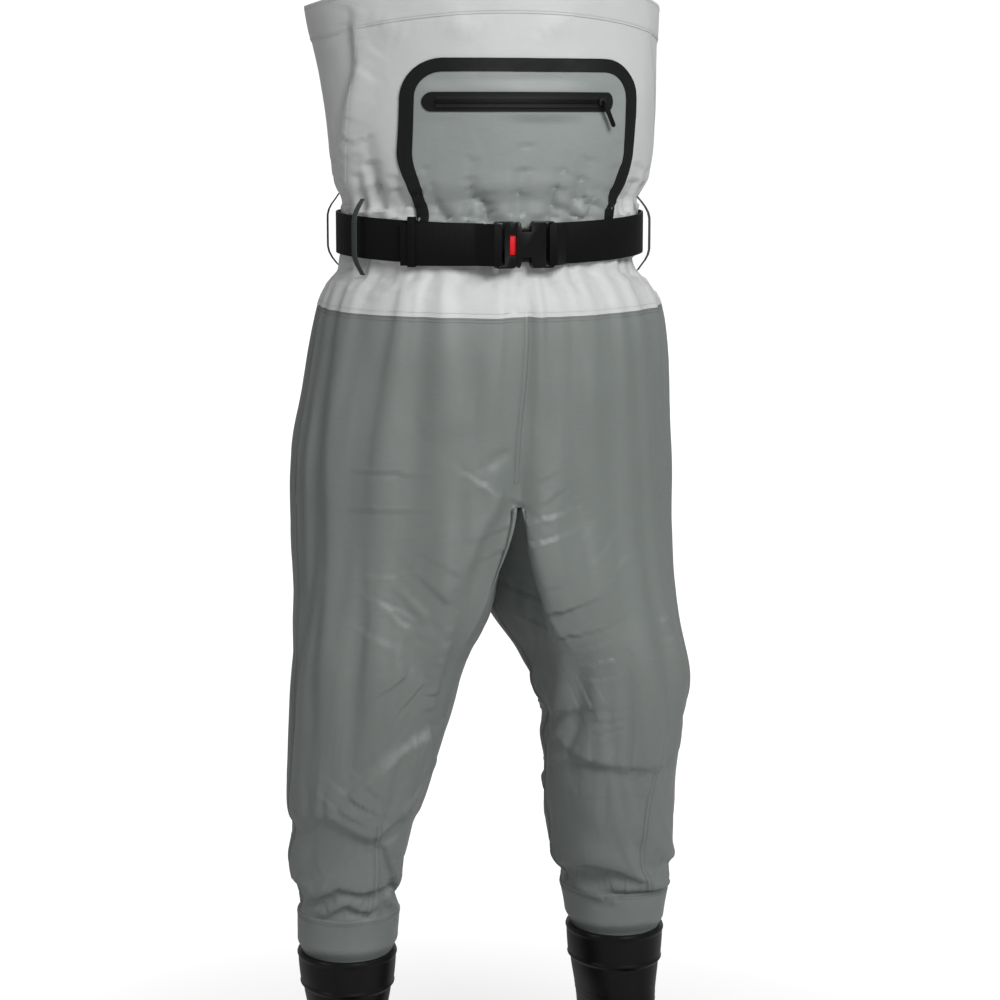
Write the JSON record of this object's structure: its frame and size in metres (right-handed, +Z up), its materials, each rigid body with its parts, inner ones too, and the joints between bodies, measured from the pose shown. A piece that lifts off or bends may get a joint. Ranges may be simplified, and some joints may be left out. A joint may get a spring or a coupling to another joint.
{
  "type": "chest waders",
  "caption": "Bootfoot chest waders with a light bib, darker trousers, zipped chest pocket, webbing belt with side-release buckle, rubber boots and shoulder straps",
  "frame": {"origin": "on the floor, under the middle of the object's box", "axes": "+Z up, the front faces -Y, +X towards the wearer's left side"},
  "size_m": [0.514, 0.3606, 1.6235],
  "materials": {
    "light_cloth": "matt laminate",
    "dark_cloth": "matt laminate",
    "pocket_cloth": "matt laminate",
    "lining": "soft",
    "tape": "welded film",
    "webbing": "woven",
    "loop_webbing": "woven",
    "boot_rubber": "satin",
    "sole_rubber": "matt",
    "buckle_plastic": "satin",
    "signal_red": "satin",
    "zip_metal": "satin"
  },
  "bodies": {
    "garment": {"back_tab": "webbing", "belt_keeper": "webbing", "belt_loop_back": "loop_webbing", "belt_loop_front_left": "loop_webbing", "belt_loop_front_right": "loop_webbing", "belt_loop_side_left": "loop_webbing", "belt_loop_side_right": "loop_webbing", "belt_webbing": "webbing", "bib_back": "light_cloth", "bib_front": "light_cloth", "boot_collar_left": "boot_rubber", "boot_collar_right": "boot_rubber", "boot_upper_left": "boot_rubber", "boot_upper_right": "boot_rubber", "buckle_socket": "buckle_plastic", "crotch_gusset": "dark_cloth", "cuff_left": "dark_cloth", "cuff_right": "dark_cloth", "heel_guard_left": "boot_rubber", "heel_guard_right": "boot_rubber", "hem_band": "light_cloth", "hip_back": "dark_cloth", "hip_front": "dark_cloth", "insole_left": "lining", "insole_right": "lining", "knee_patch_left": "dark_cloth", "knee_patch_right": "dark_cloth", "leg_back_left": "dark_cloth", "leg_back_right": "dark_cloth", "leg_front_left": "dark_cloth", "leg_front_right": "dark_cloth", "outsole_left": "sole_rubber", "outsole_right": "sole_rubber", "pocket_bag": "lining", "pocket_border": "tape", "pocket_panel": "pocket_cloth", "strap_socket_left": "buckle_plastic", "strap_socket_right": "buckle_plastic", "strap_tab_left": "webbing", "strap_tab_right": "webbing", "strap_yoke": "buckle_plastic", "toe_guard_left": "boot_rubber", "toe_guard_right": "boot_rubber", "zip_coil": "tape", "zip_patch": "tape", "zip_tape_lower": "tape", "zip_tape_upper": "tape"},
    "zip_slider": {"zip_slider": "zip_metal"},
    "zip_pull": {"zip_pull": "buckle_plastic"},
    "belt_plug": {"buckle_plug": "buckle_plastic", "buckle_tongue": "signal_red", "belt_tail": "webbing"},
    "prong_upper": {"buckle_prong_upper": "buckle_plastic"},
    "prong_lower": {"buckle_prong_lower": "buckle_plastic"},
    "strap_right": {"shoulder_strap_right": "webbing", "strap_plug_right": "buckle_plastic"},
    "adjuster_right": {"strap_adjuster_right": "buckle_plastic"},
    "strap_left": {"shoulder_strap_left": "webbing", "strap_plug_left": "buckle_plastic"},
    "adjuster_left": {"strap_adjuster_left": "buckle_plastic"}
  },
  "joints": [
    {"name": "zip_run", "type": "hinge", "parent": "garment", "child": "zip_slider", "pos_m": [0.0029, 0.1644, 1.32], "axis": [0, 0, 1], "range_deg": [-37.43, 0]},
    {"name": "zip_pull_swing", "type": "hinge", "parent": "zip_slider", "child": "zip_pull", "pos_m": [0.10391, -0.1268, 1.32], "axis": [0.3277, -0.9448, 0], "range_deg": [-60, 60]},
    {"name": "belt_release", "type": "hinge", "parent": "garment", "child": "belt_plug", "pos_m": [0.004, 0.16201, 1.151], "axis": [0, 0, 1], "range_deg": [-7, 0]},
    {"name": "prong_upper_squeeze", "type": "hinge", "parent": "belt_plug", "child": "prong_upper", "pos_m": [-0.00777, -0.13374, 1.1685], "axis": [-0.0035, 1, 0], "range_deg": [0, 6], "stiffness_Nm_per_rad": 0.05},
    {"name": "prong_lower_squeeze", "type": "hinge", "parent": "belt_plug", "child": "prong_lower", "pos_m": [-0.00777, -0.13374, 1.1335], "axis": [-0.0035, 1, 0], "range_deg": [-6, 0], "stiffness_Nm_per_rad": 0.05},
    {"name": "shoulder_strap_right_lift", "type": "hinge", "parent": "garment", "child": "strap_right", "pos_m": [-0.031, 0.15, 1.512], "axis": [-1, 0, 0], "range_deg": [0, 30]},
    {"name": "adjuster_right_slide", "type": "slide", "parent": "strap_right", "child": "adjuster_right", "axis": [0, 0, 1], "range_m": [0, 0.03]},
    {"name": "shoulder_strap_left_lift", "type": "hinge", "parent": "garment", "child": "strap_left", "pos_m": [0.031, 0.15, 1.512], "axis": [-1, 0, 0], "range_deg": [0, 30]},
    {"name": "adjuster_left_slide", "type": "slide", "parent": "strap_left", "child": "adjuster_left", "axis": [0, 0, 1], "range_m": [0, 0.03]}
  ]
}
